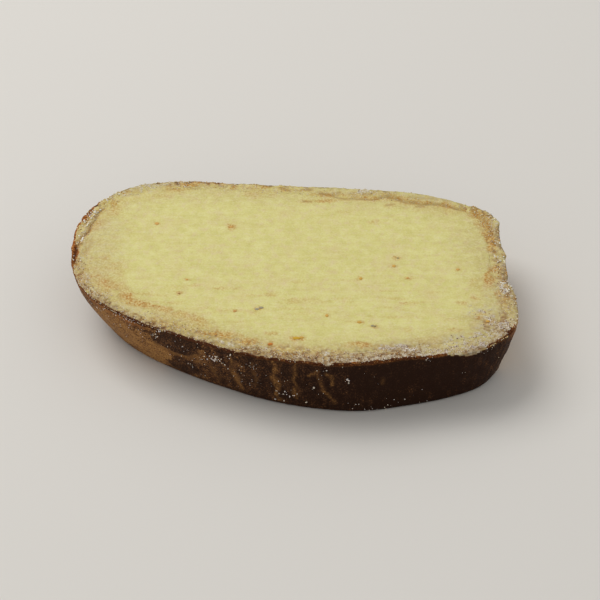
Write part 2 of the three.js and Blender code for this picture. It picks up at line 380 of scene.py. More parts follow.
def butteredTop(node, sugar, toast, hollow, gritty):
    # the buttered side, alike on the butter and on the lip, so that the one runs into the other
    look = butteredLook
    grains = addGrains(node, look["grains"]) | addGrains(node, look["strokes"], look["strokeStretch"])
    grain, mottle = grains["grain"], grains["mottle"]
    colour = node("ValToRGB", {"Fac": grains["clot"]}, stops=look["butter"])
    for name, start, full, most, tint in look["tints"]:
        span = {"Value": grains[name], "From Min": start, "From Max": full, "To Max": most}
        colour = layCoats(node, colour, [(node("MapRange", span), tint)])
    ramps = [look[name] for name in ("grit", "toasted", "film")]
    crumbs, toasted, film = [node("ValToRGB", {"Fac": grain}, stops=ramp) for ramp in ramps]
    thick = node("MapRange", {"Value": sugar, **look["thickSugar"]})
    coats = [
        (ragged(node, gritty, mottle, 0.5, 1.4), crumbs),
        (ragged(node, toast, grain, 1.0, 0.65), toasted),
        (ragged(node, hollow, grain, 0.3, 1.1), look["gap"]),
        (ragged(node, sugar, mottle, 0.6, 1.1), look["haze"]),
        (ragged(node, thick, mottle, 0.5, 1.3), film),
    ]
    bump = node("Bump", {"Height": grain, **fineBump})
    return layCoats(node, colour, coats), bump


crumbLook = {
    "grains": {"patch": (3, 3), "crisp": (0.7, 2)},
    "dry": ((0.3, "#b98a50"), (0.5, "#cfa86c"), (0.7, "#e0c896")),
    "crisp": {"From Min": 0.52, "From Max": 0.3, "To Max": 0.6},
    "brown": "#a06c38",
    # painted shade in the torn crumb's pores, with its browning towards the crust
    "pore": "#6e4522",
    "surface": {"Roughness": 0.75, "IOR": 1.4, "Specular IOR Level": 0.3},
}


def toastedCrumb():
    # open wheat crumb, cut and toasted: on top it is soaked with butter, at the torn end dry; no gloss
    look = crumbLook
    material, node, *painted, plain = startMaterial("toastedCrumb", *topFields, "plain")
    colour, bump = butteredTop(node, *painted)
    patch, crisp = addGrains(node, look["grains"]).values()
    dry = node("ValToRGB", {"Fac": patch}, stops=look["dry"])
    browned = node("MapRange", {"Value": crisp, **look["crisp"]})
    hollow = painted[topFields.index("hollow")]
    dry = layCoats(node, dry, [(browned, look["brown"]), (hollow, look["pore"])])
    colour = layCoats(node, colour, [(plain, dry)])
    return finishMaterial(material, node, {"Base Color": colour, "Normal": bump, **look["surface"]})


def spreadButter():
    # butter creamed with fine sugar and spread by knife: pale, nearly matt, grainy, faintly streaked
    material, node, *painted = startMaterial("spreadButter", *topFields)
    colour, bump = butteredTop(node, *painted)
    surface = {"Roughness": 0.6, "IOR": 1.45, "Specular IOR Level": 0.3}
    return finishMaterial(material, node, {"Base Color": colour, "Normal": bump, **surface})


def bakedSugar():
    # table sugar, part soaked with butter or melted: whitish to cream crystals, a few caramelised
    material, node, tone = startMaterial("bakedSugar", "tone")
    tones = ((0.05, "#eee1d8"), (0.35, "#d8c8ac"), (0.6, "#b99a72"), (0.95, "#78543a"))
    colour = node("ValToRGB", {"Fac": tone}, stops=tones)
    surface = {"Base Color": colour, "Roughness": 0.5, "IOR": 1.5, "Specular IOR Level": 0.4}
    return finishMaterial(material, node, {**surface, **translucent, "Subsurface Radius": (1, 0.9, 0.7)})


def crispCrumbs():
    # loose toasted breadcrumbs, dry and dull: cream to golden, brown where they caught
    material, node, tone = startMaterial("crispCrumbs", "tone")
    mottle = addGrains(node, {"mottle": (0.5, 2)})["mottle"]
    tones = ((0.02, "#ebe5d6"), (0.3, "#cfbc8c"), (0.6, "#b98c4c"), (0.9, "#7c4c22"))
    speckle = 0.5
    value = node("Math", {0: mottle, 1: speckle, 2: tone}, operation="MULTIPLY_ADD")
    value = node("Math", {0: value, 1: speckle / 2}, operation="SUBTRACT")
    colour = node("ValToRGB", {"Fac": value}, stops=tones)
    surface = {"Base Color": colour, "Roughness": 0.8, "IOR": 1.45, "Specular IOR Level": 0.2}
    return finishMaterial(material, node, {**surface, **translucent, "Subsurface Radius": (1, 0.8, 0.5)})


def burntBits():
    # toasted and burnt crumbs sunk in the butter: orange, brown or ashen, dull
    material, node, tone = startMaterial("burntBits", "tone")
    tones = [(0, "#c8a038"), (0.2, "#cfa25c"), (0.35, "#bd8c54"), (0.5, "#c67c38")]
    tones += [(0.65, "#94845a"), (1, "#a09a82")]
    colour = node("ValToRGB", {"Fac": tone}, stops=tones)
    surface = {"Base Color": colour, "Roughness": 0.8, "IOR": 1.45, "Specular IOR Level": 0.1}
    return finishMaterial(material, node, surface)


def plainPaper():
    # matt paper roll under the slice: plain and pale
    material, node = startMaterial("plainPaper")
    return finishMaterial(material, node, {"Base Color": hexColour("#d9d5ce"), "Roughness": 0.9})


print("materials ready")

# Places on top that browned more: (x, y, half length, half width, turn in degrees, strength) in mm.
brownedPlaces = [
    (-51, -18.8, 6, 1.5, -14, 0.95),
    (-43.5, -21.4, 3, 1.4, -14, 0.8),
    (-61.5, -11.8, 3.6, 2, -30, 0.75),
    (-57, -14.4, 3.2, 1.6, -25, 0.6),
    (-65.2, -6.6, 2, 1.6, 0, 0.7),
    (-68, -4, 2.4, 1.2, 0, 0.5),
    (-37.4, -24, 2.8, 1.8, -10, 0.65),
    (-31, -27.5, 7, 2.4, -20, 0.4),
    (-22, -33.6, 4.5, 1.8, -12, 0.6),
    (-14, -37.2, 3.6, 1.8, -5, 0.75),
    (-7, -38.4, 1.3, 0.9, 0, 1),
    (-7, -33.5, 2.4, 0.9, 0, 0.55),
    (-34.9, -9.1, 3.5, 0.9, 0, 0.35),
    (-22.8, -10.7, 5, 1, 0, 0.35),
    (5, -17.2, 8, 1.2, -4, 0.35),
    (-8, -14, 3, 0.9, 0, 0.45),
    (22, -39.2, 6, 1.5, 0, 0.6),
    (30.5, -39.9, 2.6, 1.4, 0, 0.5),
    (1.8, -36, 2.2, 1.1, 0, 1),
    (5, -41, 12, 1.5, -6, 0.3),
    (67, 29, 4.5, 3.2, -55, 0.9),
    (66.8, -28, 1.8, 1.6, 0, 1),
    (64.2, -26, 1.3, 0.9, 0, 0.8),
    (55.7, -32, 2.4, 0.9, 0, 0.6),
    (60.7, -33.5, 2, 0.7, 0, 0.6),
    (54.8, -41.3, 1.6, 1.3, 0, 0.7),
    (58.6, -18.4, 1.7, 1.3, 0, 0.5),
    (63.5, -15.9, 2, 0.7, -10, 0.7),
    (26.9, -25.5, 1.2, 1, 0, 0.5),
    (39.6, -31.5, 1.4, 1.4, 0, 0.5),
    (38, -18.9, 1.4, 1, 0, 0.5),
    (48, -37.5, 9, 2.5, 0, 0.25),
    (68.2, 24.4, 3.4, 2.2, -55, 0.9),
    (70.3, 17.5, 5, 2.2, -75, 1),
    (71, 11, 3, 1.5, -80, 0.7),
    (67, 31.5, 3, 1.6, -40, 0.5),
    (68.5, -5.5, 1.8, 3.6, 0, 1),
    (70.8, -0.5, 2.6, 1.4, 20, 0.9),
    (43, 37.6, 8, 1.3, -12, 0.8),
    (55, 34.6, 6, 1.2, -10, 0.8),
    (25, 38.7, 9, 1.1, 0, 0.7),
    (21, 41.5, 3, 1.4, 0, 0.7),
    (11.5, 41, 5, 0.9, -4, 0.8),
    (1, 43.4, 5, 0.9, 0, 0.7),
    (71.2, -13.4, 2.6, 0.8, 85, 0.8),
    (66, -9, 4, 4, 0, 0.3),
    (74.8, -9.6, 1, 1.6, 0, 0.9),
    (74, -18, 2.5, 4, 0, 0.35),
    (-60.7, 41.4, 3, 1.3, 35, 0.7),
    (-64.3, 36.5, 2, 1.4, 50, 0.7),
    (-54, 44, 4, 1.2, 20, 0.35),
    (-44, 43.6, 6, 1.2, 3, 0.25),
    (-21.4, 22.4, 1.9, 1.8, 0, 0.5),
    (-28, 48.6, 7, 1.6, 0, 1),
    (-13, 45.6, 5, 1.6, 0, 0.55),
    (-38, 47, 4, 1.2, 0, 0.6),
    (-12, 41, 6, 2.5, 0, 0.35),
    (12, 37.2, 5, 1.1, 0, 0.6),
    (-21.4, 44.9, 1.5, 1, 0, 1),
    (30.3, 24.9, 3, 1.4, 0, 0.35),
    (19.3, 30.5, 3, 1, 0, 0.25),
    (-72, 11, 1.2, 4, 0, 0.55),
    (-69.8, 28, 1, 3.5, -25, 0.5),
    (-66, -3, 9, 11, 0, 0.3),
    (-65, 20, 8, 12, 0, 0.12),
    (-73, 21, 3, 6, -30, 0.5),
    (-63, -11, 12, 4.5, -35, 0.35),
    (-66, 31, 4, 9, -35, 0.35),
    (-50, 42, 14, 4, 12, 0.3),
    (-40, -26, 14, 5, -18, 0.25),
    (50, 34, 16, 4, -12, 0.3),
    (20, 40, 14, 3.5, -3, 0.25),
    (-26.5, -34.2, 5, 1.6, -14, 0.45),
    (-19.5, -34.4, 3.4, 1.7, 0, 0.75),
]

# Places where whitish sugar lies thicker, in the same order.
sugaredPlaces = [
    (34.8, -40.2, 4.2, 2.2, 4, 0.95),
    (39.8, -40.5, 3, 1.7, 0, 0.8),
    (29.8, -39.6, 2, 1.6, 0, 0.6),
    (25, -43, 8, 1.5, 4, 0.5),
    (61.8, -22.2, 3, 3.5, 0, 0.4),
    (66.6, -24, 4, 3, 0, 0.4),
    (72.6, -29.5, 2, 3, 0, 0.95),
    (62, -38.2, 3.4, 1.8, 15, 0.85),
    (66.8, -40, 3, 1.2, 20, 0.8),
    (52.4, -42.8, 2.4, 1.4, 0, 0.8),
    (46, -40, 6, 2.4, 0, 0.35),
    (11.8, -42.8, 1.6, 1.4, 0, 0.7),
    (2.1, -42.4, 1.4, 0.9, 0, 0.5),
    (-11, -40.4, 4.5, 1.6, 0, 0.6),
    (-52, -29.5, 5, 1.3, -30, 0.45),
    (-22, -37.5, 5, 1.3, -20, 0.5),
    (-66, -13, 4, 1.5, -50, 0.55),
    (-71, -5, 4, 1.5, -65, 0.5),
    (-74, 6, 4.5, 0.9, 85, 0.45),
    (-74.6, 18.5, 3.5, 0.8, 75, 0.45),
    (-71.6, 27, 3.5, 0.7, 65, 0.4),
    (73.4, 22.2, 1.5, 4, 0, 0.6),
    (73.2, 13.3, 1, 1.8, 0, 0.6),
    (74.2, 3, 1.4, 3, 0, 0.5),
    (73.2, -10.6, 1.6, 3, 20, 1),
    (75.6, -14.6, 1.1, 1.8, 20, 0.95),
    (60, 14, 7, 4, 0, 0.12),
    (27, 42.6, 4, 1.6, 0, 0.6),
    (-50, 46, 7, 1.4, 10, 0.55),
    (-56, 43.5, 9, 3, 18, 0.5),
    (60, -36.5, 12, 4.5, 14, 0.6),
    (58, -40.5, 9, 2.6, 12, 0.55),
    (-22, -39, 8, 1.8, -16, 0.35),
    (-52, -22, 9, 1.8, -27, 0.35),
    (-67, 10, 9, 20, 0, 0.22),
    (48, 40.5, 15, 2.6, -13, 0.4),
    (20, 43.2, 13, 2.2, -3, 0.3),
    (66, -31, 6, 4, 35, 0.45),
    (68, -24, 5, 5, 0, 0.35),
    (39, -39.5, 8, 3.5, 0, 0.35),
    (70, -14, 4, 8, 0, 0.25),
    (-57, -22, 14, 2.5, -32, 0.25),
]

# Places where butter covers the grit, in the same order.
creamyPlaces = [
    (51, -41, 8, 3.5, 6, 0.65),
    (61, -36.5, 10, 4, 16, 0.6),
    (74.2, 6.5, 2.4, 3.8, 0, 0.7),
    (75.5, -24, 2.5, 7, 0, 0.5),
    (-53.5, -21, 8, 1.8, -27, 0.6),
    (-37, -32.3, 5, 1.4, -27, 0.5),
    (-20.8, -39.2, 5, 1.6, -15, 0.6),
    (-28, -35.5, 6, 1.3, -16, 0.5),
    (-67, -9, 2.5, 4, 35, 0.4),
    (-77, 20, 2.5, 5, -15, 0.5),
    (46, 41.2, 13, 2.4, -13, 0.8),
    (62, 36.6, 6, 2.2, -25, 0.7),
    (20, 43.8, 13, 1.8, -3, 0.7),
    (-57, 42.5, 11, 3.4, 20, 0.65),
    (-9, 46.5, 10, 0.9, 0, 0.5),
    (73.5, 26, 2, 3.5, -12, 0.8),
]

# Burnt and toasted bits in the butter: (x, y, length, width, tone), tone 0 orange, 0.5 brown, 1 grey.
butterBits = [
    (-48.1, 24.3, 1.6, 1.5, 0.2),
    (-36.1, -6, 1, 0.9, 0.2),
    (-38.6, -13.3, 0.9, 0.7, 0.6),
    (-11.6, -21.4, 1.5, 1.1, 1),
    (-10.2, -20.8, 1.7, 1.1, 0.95),
    (-19.1, -22.5, 1.3, 0.9, 0.3),
    (12.3, -24.5, 1.2, 1.5, 0.15),
    (23.4, -28, 1.6, 1, 0.1),
    (27.4, -29.8, 1.2, 0.9, 0.9),
    (28.3, -30.2, 1, 0.8, 0.7),
    (-6.9, -38.4, 1.7, 1, 0.5),
    (1.8, -36, 2.8, 1.3, 0),
    (3.8, -35.6, 1.6, 0.9, 0.1),
    (-21.4, 44.9, 2.4, 1.2, 0.5),
    (-21.4, 22.4, 1.2, 1.1, 0.2),
    (37.2, 5.2, 0.9, 0.7, 0.7),
    (36, 0.9, 1.3, 1.3, 0.15),
    (23.9, -5.5, 1.3, 1.2, 0.1),
    (58.2, -0.7, 1.3, 1.1, 0.2),
    (40.6, -5.5, 0.9, 0.9, 0.2),
    (66.8, -27.6, 1.5, 1.2, 0.1),
]

# Gaps and furrows on top: the line in mm, its half width and depth in mm, and how dark its painted shade is.
furrows = [
    ([(-75.4, 14.6), (-76.2, 9.5), (-76.3, 5.7), (-75.7, 2.5)], 0.8, 0.9, 1),
    ([(-75.3, 14.4), (-74.1, 17.1), (-72.5, 20.4), (-71.4, 23.8)], 0.5, 0.6, 0.85),
    ([(-71.4, 23.8), (-70.5, 26.6), (-69.7, 30), (-68.1, 32.8)], 0.6, 0.5, 0.6),
    ([(-73.4, 25.2), (-72.5, 28.6), (-71.6, 31.6)], 0.4, 0.4, 0.7),
    ([(-70.7, 14.9), (-71.8, 10.6), (-73, 7.8)], 0.9, 0.3, 0.3),
    ([(15.8, 39.7), (19.5, 38.5), (24.9, 38.5), (30, 38.2), (35.1, 40)], 0.55, 0.4, 0.45),
    ([(35.1, 40), (38.7, 38.5), (41.6, 36.8), (45.9, 36.2)], 1.1, 0.5, 0.55),
    ([(45.9, 35.2), (51.7, 35.7), (55.3, 35.1), (59.5, 32.9), (62.3, 32.3)], 0.7, 0.6, 0.5),
    ([(43.5, 39.6), (48.5, 38.9), (53, 38.3)], 0.8, 0.3, 0.35),
    ([(71.3, 18), (70.8, 23), (69.2, 27.5), (66.4, 31)], 1.1, 0.3, 0.45),
    ([(34.2, 34.5), (37.5, 35.1)], 0.5, 0.2, 0.45),
    ([(45.1, 33.9), (48, 33.9)], 0.5, 0.2, 0.5),
    ([(-33.5, 48.3), (-28.5, 48.8), (-23, 48.2)], 1, 0.2, 0.6),
    ([(-4.5, 45), (-0.6, 43.2)], 0.45, 0.3, 0.6),
    ([(3.6, 43.9), (7.2, 43.7)], 0.4, 0.3, 0.6),
    ([(10.5, 41.7), (15.5, 40.8)], 0.6, 0.3, 0.6),
    ([(4.4, 36.9), (6.9, 36.7)], 0.5, 0.2, 0.6),
    ([(-4.2, -43), (-1.5, -43.8), (2, -43.3)], 0.35, 0.3, 0.8),
    ([(3.5, -44.8), (9, -45.6)], 0.35, 0.3, 0.5),
    ([(12.8, -47), (16.5, -46)], 0.35, 0.3, 0.6),
]


def paintPlaces(x, y, places):  # soft ellipses laid over each other
    clear = np.ones(x.shape)
    for px, py, halfLength, halfWidth, turn, strength in places:
        c, s = math.cos(math.radians(turn)), math.sin(math.radians(turn))
        along = ((x - px) * c + (y - py) * s) / halfLength
        across = ((y - py) * c - (x - px) * s) / halfWidth
        clear = clear * (1 - strength * smoothStep(1.7, 0.3, along**2 + across**2))
    return 1 - clear


def distanceToLine(x, y, line):
    nearest = np.full(x.shape, farAway)
    for (x0, y0), (x1, y1) in zip(line, line[1:]):
        along = ((x - x0) * (x1 - x0) + (y - y0) * (y1 - y0)) / ((x1 - x0) ** 2 + (y1 - y0) ** 2)
        along = np.clip(along, 0, 1)
        nearest = np.minimum(nearest, np.hypot(x - mix(x0, x1, along), y - mix(y0, y1, along)))
    return nearest


def cutFurrows(x, y, crumbs):  # how dark their painted shade is, how brown the softer painted shade round them is, and how deep in mm
    furrowShade, furrowSoftShade, depth = np.zeros((3,) + x.shape)
    for line, halfWidth, deep, strength in furrows:
        off = distanceToLine(x, y, line)
        furrowShade = np.maximum(furrowShade, strength * bell(off, 0, halfWidth) * np.clip(1 + crumbs, 0, 1))
        furrowSoftShade = np.maximum(furrowSoftShade, np.minimum(1.2 * strength, 1) * bell(off, 0, 2.2 * halfWidth))
        depth = np.maximum(depth, 0.7 * deep * bell(off, 0, 1.2 * halfWidth))
    return furrowShade, furrowSoftShade, depth


# The finish of the buttered side, with each reach in mm from the rim.
topping = {
    "noises": {  # amount, size in mm, seed
        "clumps": (1, 1.8, 61),
        "crumbs": (1, 0.85, 62),
        "sway": (1, 3.2, 63),  # bends the painted places, so that none is a neat ellipse
        "fret": (0.3, 1.1, 64),
        "uneven": (1.3, 4.5, 66),  # browned places take more here and less there
    },
    "strokes": (1.7, 65),  # the size and seed of the noise
    "strokeStretch": (0.2, 1, 1),
    "strokeBand": (-18, 16),  # y where the knife bared the toast most, and how far round it
    "bitHalo": (1.3, 1, 0, 0.6),  # half length, half width, turn and strength of the brown round a bit
    "wornReach": (17, 3),  # thin butter lets the crumb show, from the first and fully from the second
    "worn": (0.36, 0.24),  # in front and behind
    "pitRow": (2.5, 1.3),  # painted shade in pits inside the front rim, and how far round it
    "backEdge": (1.6, 0.3),  # singed behind, from the first and fully from the second
}


def topFinish(points, distance):
    # sugar, toasting, furrows and painted shade on the buttered side; distance is from the rim, in mm
    clumps, crumbs, sway, fret, uneven = noiseFields(points, topping["noises"].values())
    grit = 0.45 * clumps + 0.65 * crumbs
    gap = smoothStep(0.35, -0.35, clumps + 0.35 * crumbs)  # between the clumps of buttery crumb
    x = points[..., 0] + sway + 0.35 * crumbs
    y = points[..., 1] + 0.8 * clumps + fret
    reach = rim["reach"]

    # Sugar lies thickest by the rim and on its places. Buttery grit reaches further in.
    band = smoothStep(2.0 * reach, 0.5, distance + 1.6 * clumps)
    outer = smoothStep(0.9 * reach, 0, distance + 1.2 * clumps)
    thick = band * (0.45 * smoothStep(0.6, 1, rim["sugar"]) + 0.45 * outer * rim["sugar"])
    sugar = np.maximum(thick, paintPlaces(x, y, sugaredPlaces)) * np.clip(0.9 + clumps, 0.5, 1)
    gritty = band * np.clip(rim["sugar"] + 0.25, 0, 1.2)
    gritty = np.maximum(gritty, 0.85 * smoothStep(0.35, 0.9, sugar)) * mix(0.8, 1.2, gap)
    worn = mix(*topping["worn"], rimBack) * smoothStep(*topping["wornReach"], distance + clumps)
    gritty = np.maximum(gritty, worn)

    # Toasting: browned places, faint knife strokes and a singed lip.
    halos = [bit[:2] + topping["bitHalo"] for bit in butterBits]
    browned = paintPlaces(x, y, brownedPlaces + halos)
    strokes = noiseField(points * topping["strokeStretch"], *topping["strokes"])
    strokes = strokes * bell(points[..., 1], *topping["strokeBand"])
    singed = rim["toast"] * bell(distance, 0.4 * reach, 0.6 * reach + 0.8)
    toast = browned * np.clip(1 + uneven, 0.3, 1.6) * (0.9 - 0.4 * grit)
    toast = np.clip(toast + 0.75 * np.maximum(strokes - 0.15, 0) + 0.6 * singed, 0, 1)

    # Darker in the low places between the grains, the toasting together with painted shade: on the lip's
    # nose, in a row of pits inside the front rim, and behind.
    dark = np.clip(0.7 * singed + 0.4 * gritty**2 + 0.2 * browned, 0, 1) * smoothStep(0.12, -0.28, grit)
    # The nose is darker partly from toasting and partly as painted shade where the lip rounds over; on the
    # torn end it is painted shade alone.
    nose = np.maximum(rimFront * np.clip(1.4 * rim["toast"], 0, 1), 0.5 * rim["torn"])
    nose = nose * smoothStep(0.95 * reach, 0.5, distance + 0.6 * crumbs)
    dark = np.maximum(dark, 1.5 * nose * smoothStep(0.7, -0.35, grit))
    pits = rimFront * bell(distance, *topping["pitRow"]) * smoothStep(0.15, -0.3, grit)
    dark = np.clip(dark + 0.45 * pits, 0, 1)
    creamy = paintPlaces(x, y, creamyPlaces)
    gritty = gritty * (1 - creamy)
    toast = toast * (1 - 0.7 * creamy)
    dark = dark * (1 - 0.9 * creamy)
    singedBack = rimBack * smoothStep(*topping["backEdge"], distance + 0.5 * clumps)
    singedBack = singedBack * smoothStep(0.5, -0.4, grit)
    dark = np.clip(dark + 0.6 * singedBack, 0, 1)

    # Furrows follow their lines more closely than the painted places do.
    lineX, lineY = [mix(swayed, points[..., k], 0.6) for k, swayed in enumerate((x, y))]
    furrowShade, furrowSoftShade, depth = cutFurrows(lineX, lineY, crumbs)
    toast = np.maximum(toast, furrowSoftShade)
    return {
        "sugar": sugar * smoothStep(-0.3, 0.2, grit) * (1 - furrowShade) * (1 - 0.6 * pits),
        "toast": toast,
        "hollow": np.maximum(dark, furrowShade),
        "gritty": gritty,
        "relief": 0.4 * grit * np.clip(gritty + sugar, 0.2, 1) - depth,
        "dusted": sugar,
    }


# The bread: crust, crumb and lip in one closed mesh. Lengths are in mm.
loaf = {
    "seatShares": (1, 0.7, 0.4, 0.15),  # of the way to the middle
    "lipRings": 30,
    "wallRings": 44,
    "wallTop": 0.98,  # share of the height where the wall's first ring lies
    "underRings": 33,
    "underButter": 2.0,  # how far the lip runs on under the butter's edge
    "noseIn": (0, 0.4, 1.2, 2.4),  # in from the rim, and how high the lip is there
    "noseUp": (-0.5, -0.1, 0, -0.03),
    "wallCurve": 1.4,  # how strongly the wall bends in towards the foot
    "footWear": 0.7,  # how much the foot's edge is worn, and up to which height
    "footHeight": 1.2,
    "wobbleReach": 5,  # how far in the rim's raggedness is felt
    "noises": {  # amount, size, seed
        "rough": (1, 2.2, 5),
        "fine": (1, 0.95, 6),
        "swell": (0.3, 14, 4),  # of the crust
        "lump": (1.2, 6.5, 9),  # of the torn end
        "lipSwell": (0.25, 6, 10),
        "bend": (1.6, 5, 11),  # of cracks and patches, along the wall and up it
        "sag": (1.1, 3.5, 12),
        "fray": (0.2, 5, 15),  # of the line where crust gives way to torn crumb
    },
    "pores": ((1, 3.6, 0.5, 8), (0.55, 1.7, 0.45, 9)),  # amount, size, width, seed
    "streak": (1.6, 13),  # the size and seed of a noise, as in the next two
    "backShade": (16, 16),
    "spillNoise": (2, 14),
    "streakStretch": (1, 1, 0.25),
    "paintedCornerLight": (77, 2.4),  # x of the corner where the rind is painted a lit amber, light shining through the crust's edge, and how far round it
    "leftGlow": (-46, -53),  # x where the left rind starts to, and where it fully does
}

# Where the rim bulges out (+) or is broken back (-): (x, y, half width, mm).
rimBumps = [
    (74.5, 25, 3, 1.1),
    (75.5, 7.5, 3, 0.6),
    (76, -5.5, 2.5, -0.8),
    (77, -14.5, 1.5, 0.4),
    (12, -48, 4, 0.4),
    (37, -47, 4, -0.5),
    (60, -43, 4.5, 0.8),
    (54, -44.5, 1.2, -0.5),
    (-68.5, 36.5, 1.6, 0.7),
    (-65.5, 38.5, 1.3, -0.8),
    (-24, 49, 3, -0.3),
]

# Where the rind shows wider on top: (x, y, half width, mm).
wideRind = [(-75.6, 8.5, 5, 2.7), (-71, 28.5, 5, 2.6), (76.5, -34, 3, 0.7)]

# Where the crumb hangs over the crust's top edge: (x, half width, mm down the wall).
spills = [(60, 4.5, 2), (53.5, 1.5, 0.8), (12, 3, 0.5), (-12, 2, 0.4), (-44, 1.5, 0.6), (-62, 3, 0.3)]

# Cracks where the crust stretched, as (x, z) in mm along the front wall, and how plain they are.
cracks = [
    ([(-46.5, 15.5), (-44, 13.2), (-40, 12.4), (-35.5, 13.2), (-33, 16.5), (-30.5, 19)], 1),
    ([(-35.5, 13.2), (-31, 12.5)], 0.8),
    ([(-20.4, 20.5), (-19.2, 12.5), (-17, 4)], 0.9),
    ([(-6.2, 23.2), (-5.6, 17.2), (-4.7, 8), (-3.7, 2.4)], 1),
    ([(0.8, 23.5), (1.4, 14.9), (1.7, 5.3)], 0.55),
    ([(5.4, 17.4), (8.8, 20.3), (9.5, 14.7), (13.2, 8.4), (14.3, 4.3)], 0.7),
    ([(12.4, 19.2), (14.2, 13.8)], 0.5),
    ([(30.5, 16.4), (30.9, 13.4)], 0.2),
    ([(-12.5, 20), (-12, 9)], 0.35),
    ([(-27, 12), (-24.5, 5)], 0.5),
]

# Paler patches of the front crust, then darker ones: (x, z, half width, half height, turn, strength).
palePatches = [
    (-31.5, 17, 3.5, 3, 0, 0.2),
    (-29, 22.5, 2, 1.4, 0, 0.3),
    (-47, 7, 5, 8, 0, 0.5),
    (-59, 13, 11, 9, 0, 0.28),
    (-18.5, 12, 0.8, 8, 0, 0.25),
]
darkPatches = [
    (-40, 19.2, 8, 5.8, 0, 0.95),
    (-31, 22.5, 4, 2.5, 0, 0.8),
    (-37, 6.6, 5.6, 5, 0, 0.9),
    (-53, 21, 4.5, 1.3, 0, 1),
    (-54.6, 19.4, 0.9, 0.8, 0, 1),
]


def alongRim(places):  # sums bumps of (x, y, half width, mm) at each column
    total = np.zeros(slab["columns"])
    for x, y, halfWidth, amount in places:
        total = total + amount * bell(np.hypot(rim["x"] - x, rim["y"] - y), 0, halfWidth)
    return total


rimPoints = np.stack([rim["x"], rim["y"], np.zeros(slab["columns"])], axis=1)
rimWobble = sum(noiseFields(rimPoints, slab["wobble"])) + alongRim(rimBumps)
margin = sum(noiseFields(rimPoints, slab["wander"]), rim["margin"])


def lipHeight(distance):  # from the lip's crest: a rounded nose, then gently down and under the butter
    nose = np.interp(distance, loaf["noseIn"], loaf["noseUp"])
    fall = 0.2 * smoothStep(2.2, 5.5, distance)
    return nose - fall - 0.75 * smoothStep(0, loaf["underButter"], distance - margin)


def wallRing(share):
    height = share * thickness
    wear = loaf["footWear"] * max(0, 1 - height / loaf["footHeight"]) ** 2
    return inward(rim["inset"] * (1 - share) ** loaf["wallCurve"] + wear, height)


def layBread():
    # rings from the middle of the seat out over the lip, down the wall and in again underneath
    full = margin + loaf["underButter"]
    lipShares = np.linspace(1, 0, loaf["lipRings"])
    wallShares = np.linspace(loaf["wallTop"], 0, loaf["wallRings"])
    underShares = np.linspace(0, 1, loaf["underRings"] + 1)[1:]
    seatRing = inward(full, seatHeight)
    seat = [shrunk(seatRing, share) for share in loaf["seatShares"]]
    lip = [inward(full * share, thickness + lipHeight(full * share)) for share in lipShares]
    wall = [wallRing(share) for share in wallShares]
    under = [shrunk(wall[-1], share) for share in underShares]
    rings = np.array(seat + lip + wall + under)
    starts = np.cumsum([len(seat), len(lip), len(wall)])
    lipFrom, wallFrom, underFrom = starts
    distance = np.full(rings.shape[:2], farAway)
    distance[lipFrom:wallFrom] = full * lipShares[:, None]
    distance[wallFrom:underFrom] = 0
    share = np.zeros(rings.shape[:2])
    share[:wallFrom] = 1
    share[wallFrom:underFrom] = wallShares[:, None]
    weight = smoothStep(loaf["wobbleReach"], 0, distance)
    weight[wallFrom:] = share[wallFrom:] ** 1.5
    rings[..., 0] += rim["nx"] * rimWobble * weight
    rings[..., 1] += rim["ny"] * rimWobble * weight
    print("bread rings laid")
    return rings, distance, share, starts


def crackCrust(alongWall, height, rough, fine):  # 1 in the middle of a crack
    crack = np.zeros(height.shape)
    for line, strength in cracks:
        gap = distanceToLine(alongWall, height, line)
        crack = np.maximum(crack, rimFront * strength * smoothStep(1.0, 0.05, gap + 0.5 * fine))
        gap = distanceToLine(0.8 * alongWall - 12, height, line)  # fainter ones behind
        crack = np.maximum(crack, 0.8 * rimBack * strength * smoothStep(0.85, 0.2, gap + 0.25 * fine))
    return crack * np.clip(0.8 + rough, 0, 1)


def bakeCrust(rings, alongWall, upWall, onWall, tear):  # how dark the crust is
    streaks = noiseField(rings * loaf["streakStretch"], *loaf["streak"])
    bake = rim["bake"] + (0.12 + 0.25 * rim["bake"]) * streaks * onWall
    bake = bake + 0.25 * rimBack * noiseField(rings, *loaf["backShade"])
    pale = paintPlaces(alongWall, upWall, palePatches) * rimFront
    deep = 0.3 * smoothStep(0.35, 0.55, paintPlaces(alongWall, upWall, darkPatches)) * rimFront
    return np.clip(bake - pale + deep - 0.4 * smoothStep(0.15, 0.5, tear), *bakeRange)


